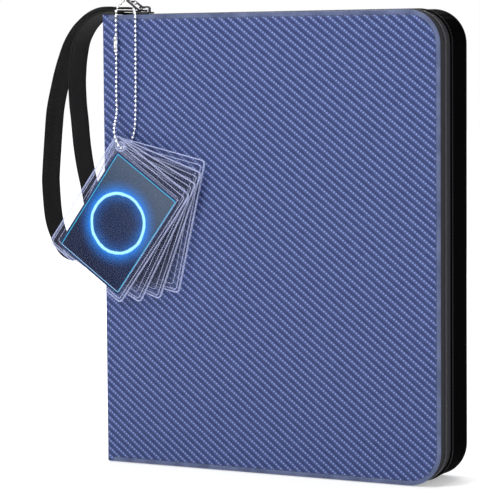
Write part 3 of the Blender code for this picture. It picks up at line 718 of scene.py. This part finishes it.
def cover(side, twill_fabric, edge_fabric, thread):
    """A cover: its edge rolled over, a raised band, and a stitched groove inside it."""
    node = f"{side}_cover"
    body = f"{side}_half"
    low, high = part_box(node)
    face, under = (low.y, high.y) if side == "front" else (high.y, low.y)
    inward = 1 if side == "front" else -1
    shrink = REVEAL if side == "front" else 0.0
    steps = [(0.35, under, 1), (0.0, under - inward * 0.2 * MM, 1),
             (0.0, face + inward * 0.5 * MM, 1), (0.14, face + inward * 0.22 * MM, 1),
             (0.5, face + inward * 0.05 * MM, 1), (1.1, face, 1), (2.2, face, 1),
             (2.8, face + inward * 0.10 * MM, 1), (3.2, face + inward * 0.42 * MM, 1),
             (3.5, face + inward * 0.42 * MM, 0), (3.9, face + inward * 0.12 * MM, 0),
             (4.8, face + inward * 0.02 * MM, 0), (8.0, face, 0)]
    rings, slots = [], []
    for inset, y, kind in steps:
        rings.append([(x, y, z) for x, z in
                      case_line(inset * MM, low.x + min(inset, 0.5) * MM, shrink)])
        slots.append(kind)
    verts, faces = loft(rings)
    count = len(rings[0])
    face_slots = [slots[f // count] for f in range(count * (len(rings) - 1))] + [1, 0]
    made = piece(f"{side}_cover_skin", verts, faces, [twill_fabric, edge_fabric], body,
                 "blue_twill", smooth=50, face_slots=face_slots)
    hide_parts(node)
    groove = at_y(case_line(3.35 * MM, low.x + 3 * MM, shrink, 24), face + inward * 0.34 * MM)
    stitches(f"{side}_cover_stitches", groove, lambda p: Vector((0, -inward, 0)), thread, body,
             "blue_twill")


def hinge_strip(side, fabric):
    """Coated fabric that runs round the corner from the spine to a cover."""
    inward = 1 if side == "front" else -1
    face = FRONT_Y if side == "front" else BACK_Y
    rise = 0.25
    turn = [(-rise, 6.0), (-rise, 4.5), (-rise, 3.0), (-rise, 1.8), (-0.9 * rise, 0.9),
            (-0.3 * rise, 0.15), (0.8, -0.16), (2.0, -0.22), (3.2, -0.2), (4.6, -0.12),
            (5.4, 0.25), (4.4, 0.35), (3.0, 0.3), (1.4, 0.34), (0.45, 0.75), (0.3, 2.0),
            (0.3, 3.2), (0.3, 4.6), (0.3, 6.0)]
    rings = []
    for step in range(35):
        z = (0.6 + (HEIGHT / MM - 1.2) * step / 34) * MM
        rings.append([(SPINE_X + x * MM, face + inward * y * MM, z) for x, y in turn])
    verts, faces = loft(rings)
    made = piece(f"{side}_hinge_strip", verts, faces, fabric, smooth=60)
    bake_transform(made)


def coil(side, teeth_material, cord_material):
    """Coil teeth that reach past the zip's centre line, between those of the other half."""
    node = f"zip_coil_{side}"
    low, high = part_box(node)
    inward = 1 if side == "front" else -1
    pitch = 1.65 * MM
    line = at_y(case_line(1.25 * MM, low.x, 0.0, 30), (low.y + high.y) / 2)
    offset = pitch / 2 if side == "front" else pitch
    frames, heads = [], []
    for place, along in walk(line, pitch, offset):
        out = outward(place)
        frames.append(oriented(place, along, out, (0.42 * MM, 0.98 * MM, 1.0 * MM)))
        head = place + Vector((0, inward * 0.95 * MM, 0)) + out * 0.12 * MM
        heads.append(oriented(head, along, out, (0.56 * MM, 0.42 * MM, 0.8 * MM)))
    verts, faces = copies(ball(2), frames + heads)
    made = piece(f"{node}_teeth", verts, faces, teeth_material, f"{side}_half", "coil",
                 smooth=80)
    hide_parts(node)
    core = at_y(case_line(1.5 * MM, low.x + 0.2 * MM, 0.0, 24),
                (low.y + high.y) / 2 - inward * 0.55 * MM)
    piece(f"{node}_core", *tube(core, 0.7 * MM, 8), cord_material, f"{side}_half", "coil", 60)


def seam_rows(thread, rib):
    """Stitch rows on the tapes and the wall, and the cords piped along the wall's edges."""
    for side, body in (("front", "front_half"), ("back", "back_half")):
        low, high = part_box(f"zip_tape_{side}")
        shares = (0.3,) if side == "front" else (0.22, 0.8)
        for number, share in enumerate(shares):
            line = at_y(case_line(0.9 * MM, low.x + 2 * MM, 0.0, 24),
                        low.y + (high.y - low.y) * share)
            stitches(f"tape_stitches_{side}_{number}", line, outward, thread, body, "tape",
                     2.4 * MM, 1.5 * MM, 0.36 * MM)
    low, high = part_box("back_wall")
    for name, y in (("zip_side", low.y + 0.7 * MM), ("cover_side", high.y - 0.5 * MM)):
        line = at_y(case_line(0.25 * MM, low.x + 1 * MM, 0.0, 24), y)
        piece(f"wall_piping_{name}", *tube(line, 0.62 * MM, 10), rib, "back_half", "wall", 60)
    line = at_y(case_line(0.0, low.x + 3 * MM, 0.0, 24), low.y + 2.6 * MM)
    stitches("wall_stitches", line, outward, thread, "back_half", "wall", 2.8 * MM, 2.0 * MM,
             0.36 * MM)


# --------------------------------------------------------- holders and the card

def hanging_place(number):
    """Where a holder hangs: local X to its right, Y up and Z out of its front."""
    low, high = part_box(f"card_holder_{number}")
    tilt = FIRST_TILT - (number - 1) * FAN_STEP
    return (Matrix.Translation((HOLE_X, (low.y + high.y) / 2, HOLE_Z))
            @ Matrix.Rotation(tilt, 4, "Y") @ Matrix.Rotation(math.pi / 2, 4, "X"))


def slab(outline, low, high, place=Matrix.Identity(4), soften=0.0):
    """A flat plate of an outline, its edges rounded where soften is more than nothing."""
    cx = sum(x for x, _ in outline) / len(outline)
    cy = sum(y for _, y in outline) / len(outline)

    def ring(z, inset):
        shrunk = []
        for x, y in outline:
            away = math.hypot(x - cx, y - cy)
            keep = 1 - inset / away
            shrunk.append(place @ Vector((cx + (x - cx) * keep, cy + (y - cy) * keep, z)))
        return shrunk

    if not soften:
        return loft([ring(low, 0), ring(high, 0)])
    return loft([ring(low, soften), ring(low + soften, 0), ring(high - soften, 0),
                 ring(high, soften)])


def band(outer, inner, low, high, place):
    """A flat frame between two outlines of equally many points."""
    rings = [[place @ Vector((x, y, z)) for x, y in line] for line, z in
             ((outer, low), (outer, high), (inner, high), (inner, low), (outer, low))]
    return loft(rings, caps=False)


def holder_trim(number, surface):
    """The holder's bright cut edge, and the welded lines round its pocket."""
    place = hanging_place(number)
    left, top = -HOLE_FROM_SIDE, HOLE_FROM_TOP
    right, bottom = left + HOLDER_WIDTH, top - HOLDER_HEIGHT
    half = HOLDER_THICKNESS / 2

    def box_line(inset_left, inset_right, inset_low, inset_top, radius):
        return rounded_box(left + inset_left, right - inset_right, bottom + inset_low,
                           top - inset_top, radius)

    outer = box_line(-0.05 * MM, -0.05 * MM, -0.05 * MM, -0.05 * MM, 3.0 * MM)
    inner = box_line(0.6 * MM, 0.6 * MM, 0.6 * MM, 0.6 * MM, 2.6 * MM)
    sheets = [band(outer, inner, low, high, place) for low, high in
              ((half - 0.35 * MM, half + 0.04 * MM), (-half - 0.04 * MM, 0.35 * MM - half))]
    piece(f"holder_rim_{number}", *gather(sheets), surface, f"holder_{number}",
          "clear_holder", 50)
    welds = []
    for inset, wide in ((2.0, 0.7), (5.6, 0.5)):
        far = inset + wide
        welds.append(band(
            box_line(inset * MM, inset * MM, inset * MM, (inset + 1.6) * MM, 2 * MM),
            box_line(far * MM, far * MM, far * MM, (far + 1.6) * MM, 1.5 * MM),
            half, half + 0.14 * MM, place))
    header = band(rounded_box(left + 5 * MM, right - 5 * MM, top - 9.2 * MM, top - 8.4 * MM,
                              0.3 * MM),
                  rounded_box(left + 5.3 * MM, right - 5.3 * MM, top - 9.0 * MM,
                              top - 8.6 * MM, 0.15 * MM), half, half + 0.12 * MM, place)
    eyelet = band(arc((0, 0), 4.0 * MM, 0, 360, 28), arc((0, 0), 3.1 * MM, 0, 360, 28),
                  half, half + 0.16 * MM, place)
    piece(f"holder_welds_{number}", *gather(welds + [header, eyelet]), surface,
          f"holder_{number}", "clear_holder", 50)


def shown_card(art):
    """The card in the front holder, printed on both faces."""
    place = hanging_place(1)
    left, top = -HOLE_FROM_SIDE + CARD_FROM_SIDE, HOLE_FROM_TOP - CARD_FROM_TOP
    outline = rounded_box(left, left + CARD_WIDTH, top - CARD_HEIGHT, top, 3.0 * MM, 8)
    verts, faces = slab(outline, -CARD_THICKNESS / 2, CARD_THICKNESS / 2, place, 0.08 * MM)
    made = piece("shown_card", verts, faces, art, "card", "card", smooth=40)
    back = place.inverted()
    centre = Vector((left + CARD_WIDTH / 2, top - CARD_HEIGHT / 2, 0))
    local = [back @ v - centre for v in verts]
    store_lay(made, [(p.x, p.z, p.y) for p in local])
    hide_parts("display_card")


# ----------------------------------------------------------------------- pages

def page(side, number, art, weld_material, film_material):
    """A clear leaf with three by three pockets and a card in each."""
    node = f"page_{side}_{number}"
    low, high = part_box(node)
    middle = (low.y + high.y) / 2
    facing = Matrix(((1, 0, 0, 0), (0, 0, 1, middle), (0, 1, 0, 0), (0, 0, 0, 1)))
    x0, z0 = low.x + PAGE_MARGIN, low.z + 3 * MM
    cards, lay = [], []
    for row in range(3):
        for column in range(3):
            cx = x0 + (column + 0.5) * CELL_WIDTH
            cz = z0 + (row + 0.5) * CELL_HEIGHT - 1.5 * MM
            outline = rounded_box(cx - CARD_WIDTH / 2, cx + CARD_WIDTH / 2,
                                  cz - CARD_HEIGHT / 2, cz + CARD_HEIGHT / 2, 3 * MM, 5)
            plate = slab(outline, -0.16 * MM, 0.16 * MM, facing, 0.05 * MM)
            cards.append(plate)
            lay += [(v.x - cx, v.y, v.z - cz) for v in plate[0]]
    made = piece(f"{node}_cards", *gather(cards), art, f"{node}_body", "card", smooth=40)
    store_lay(made, lay)
    half = (high.y - low.y) / 2 + 0.12 * MM
    lines = []
    for column in range(4):
        x = x0 + column * CELL_WIDTH
        lines.append((x - 0.5 * MM, x + 0.5 * MM, z0 - 1 * MM, z0 + 3 * CELL_HEIGHT))
    for row in range(3):
        z = z0 + row * CELL_HEIGHT - 1.2 * MM
        lines.append((x0 - 0.5 * MM, x0 + 3 * CELL_WIDTH + 0.5 * MM, z - 0.5 * MM,
                      z + 0.5 * MM))
    welds = [slab([(a, c), (b, c), (b, d), (a, d)], -half, half, facing)
             for a, b, c, d in lines]
    piece(f"{node}_welds", *gather(welds), weld_material, f"{node}_body", "clear_page", 50)
    repaint(node, film_material)


# -------------------------------------------------------------- ring mechanism

def ring(side, number, chrome):
    """Half a ring: round wire along an arc, ending at the seam."""
    node = f"ring_{side}_{number}"
    low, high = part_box(node)
    level = (low.z + high.z) / 2
    wire = (high.z - low.z) / 2
    sign = -1 if side == "front" else 1
    radius = RING_RADIUS
    centre_x = high.x - wire - radius
    start = math.degrees(math.acos(max(-1.0, (low.x + wire * 0.94 - centre_x) / radius)))
    seam = math.degrees(GAP / radius) / 2
    points = [(x, y, level) for x, y in
              arc((centre_x, 0), radius, sign * start, sign * seam, 44)]
    made = piece(f"{node}_wire", *tube(points, wire, 18), chrome, f"ring_jaw_{side}", "chrome",
                 smooth=50)
    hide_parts(node)


# --------------------------------------------------------------- stage and build

def lights():
    """Four soft lamps, and a world that is white to the camera and dimmer as a light."""
    def area(name, place, aim, size, power):
        lamp = bpy.data.lights.new(name, "AREA")
        lamp.shape = "DISK"
        lamp.size = size
        lamp.energy = power
        made = bpy.data.objects.new(name, lamp)
        bpy.context.scene.collection.objects.link(made)
        made.location = place
        made.rotation_euler = (Vector(aim) - Vector(place)).to_track_quat("-Z", "Y").to_euler()

    area("key", (-0.6, -1.4, 1.5), (0, 0, 0.24), 0.9, 24)
    area("fill", (0.9, -1.6, 0.8), (0, 0, 0.17), 1.0, 6)
    area("top", (0.1, 0.2, 1.6), (0, 0, 0.2), 0.8, 9)
    area("rear", (-0.6, 1.5, 0.9), (0, 0, 0.17), 1.0, 10)
    world = bpy.data.worlds.new("studio")
    world.use_nodes = True
    tree = world.node_tree
    background = tree.nodes["Background"]
    background.inputs[0].default_value = (1.0, 1.0, 1.0, 1.0)
    seen = tree.nodes.new("ShaderNodeLightPath")
    strength = tree.nodes.new("ShaderNodeMath")
    strength.operation = "MULTIPLY_ADD"
    strength.inputs[1].default_value = 1.0 - SKY_LIGHT
    strength.inputs[2].default_value = SKY_LIGHT
    tree.links.new(seen.outputs["Is Camera Ray"], strength.inputs[0])
    tree.links.new(strength.outputs[0], background.inputs[1])
    bpy.context.scene.world = world
    bpy.context.scene.view_settings.view_transform = "Standard"


def floor():
    """White paper that glows more further off, so that it meets the background."""
    mesh = bpy.data.meshes.new("floor")
    shape = bmesh.new()
    bmesh.ops.create_grid(shape, x_segments=2, y_segments=2, size=FLOOR_SIZE)
    shape.to_mesh(mesh)
    shape.free()
    made = bpy.data.objects.new("floor", mesh)
    made.location = (0, 2.0, -0.0005)
    bpy.context.scene.collection.objects.link(made)
    surface = Shader("floor_paper", roughness=0.85, colour=(0.86, 0.86, 0.865),
                     Emission_Color=(1.0, 1.0, 1.0, 1.0))
    away = surface.node("ShaderNodeVectorMath",
                        {0: surface.node("ShaderNodeNewGeometry")}, output=1,
                        operation="LENGTH")
    near, far = 0.35, 1.1
    glow = surface.node("ShaderNodeMapRange",
                        {"Value": away, "From Min": near, "From Max": far,
                         "To Min": 0.38, "To Max": 0.85})
    surface.set("Emission Strength", glow)
    mesh.materials.append(surface.material)


def camera():
    """A long lens, placed so that the case's edges run as they do in life."""
    data = bpy.data.cameras.new("camera")
    data.sensor_fit = "HORIZONTAL"
    data.sensor_width = 36.0
    data.lens = CAMERA_LENS
    data.shift_y = CAMERA_SHIFT
    made = bpy.data.objects.new("camera", data)
    made.matrix_world = (Matrix.Translation(CAMERA_PLACE)
                         @ Matrix.Rotation(math.radians(CAMERA_TURN), 4, "Z")
                         @ Matrix.Rotation(math.radians(90 - CAMERA_PITCH), 4, "X")
                         @ Matrix.Rotation(math.radians(CAMERA_ROLL), 4, "Z"))
    bpy.context.scene.collection.objects.link(made)
    bpy.context.scene.camera = made


def build():
    """Makes every piece, with its material."""
    blue, edge = twill(), rolled_edge()
    thread = grain("blue_thread", (0.020, 0.030, 0.11), (0.05, 0.07, 0.20), 0.6, 1600)
    dark_thread = grain("black_thread", (0.010, 0.010, 0.011), (0.05, 0.05, 0.055), 0.6, 1600)
    wall = grain("black_coated_fabric", (0.0006, 0.0006, 0.0007), (0.0018, 0.0018, 0.002),
                 0.75, 1100, gloss=0.003)
    piping = grain("black_piping", (0.004, 0.004, 0.005), (0.012, 0.012, 0.013), 0.42, 1500)
    board = grain("grey_board", (0.20, 0.19, 0.17), (0.32, 0.30, 0.27), 0.85, 700)
    lining = woven("black_lining", (0.004, 0.004, 0.005), (0.022, 0.022, 0.025), 0.5 * MM)
    tape = woven("zip_tape_weave", (0.008, 0.008, 0.010), (0.035, 0.035, 0.042), 0.45 * MM,
                 ("Y", "X"))
    teeth = plastic("coil_teeth", (0.055, 0.055, 0.065), 0.24)
    chrome = metal("chrome", (0.86, 0.87, 0.90), 0.10)
    steel = metal("brushed_steel", (0.66, 0.66, 0.68), 0.28, "Z")
    gun = metal("gunmetal", (0.10, 0.10, 0.11), 0.24)
    lever = plastic("lever_plastic", (0.012, 0.012, 0.013), 0.38)
    holder_film = film("holder_film", (0.40, 0.45, 0.80), 0.022, 0.16, 0.16)
    holder_rim = film("holder_rim", (0.62, 0.68, 0.98), 0.26, 0.30, 0.15)
    page_film = film("page_film", (0.80, 0.84, 0.92), 0.10, 0.30, 0.14)
    page_weld = film("page_weld", (0.85, 0.88, 0.95), 0.35, 0.30, 0.20)
    art = card_art("card_art")
    # The cards in the pages get a weaker painted glow than the shown card.
    art_small = card_art("page_card_art", 0.8)
    webbing = strap_weave()

    camera()
    ball_chain(chrome)
    wrist_strap(webbing, dark_thread)
    for side in ("front", "back"):
        cover(side, blue, edge, thread)
        hinge_strip(side, blue)
        coil(side, teeth, tape)
        repaint(f"{side}_board", board)
        repaint(f"{side}_lining", lining, 0.25 * MM)
        repaint(f"zip_tape_{side}", tape)
        repaint(f"ring_blade_{side}", steel, 0.2 * MM)
        for number in (1, 2, 3):
            ring(side, number, chrome)
        for number in range(1, PAGES_PER_SIDE + 1):
            page(side, number, art_small, page_weld, page_film)
    seam_rows(dark_thread, piping)
    repaint("back_wall", wall, 0.4 * MM)
    repaint("spine_cover", blue, 0.3 * MM)
    repaint("spine_board", board)
    repaint("spine_lining", lining)
    repaint("strap_tab", wall, 0.3 * MM)
    repaint("ring_plate", steel, 0.15 * MM)
    for name in ("plate_rivet_lower", "plate_rivet_upper"):
        repaint(name, chrome, 0.15 * MM)
    for name in ("lever_lower", "lever_upper"):
        repaint(name, lever, 0.7 * MM, 3)
    repaint("zip_slider", gun, 0.25 * MM)
    repaint("zip_pull", gun, 0.4 * MM, 3)
    for number in range(1, HOLDER_COUNT + 1):
        repaint(f"card_holder_{number}", holder_film)
        holder_trim(number, holder_rim)
    shown_card(art)
    lights()
    floor()


build()
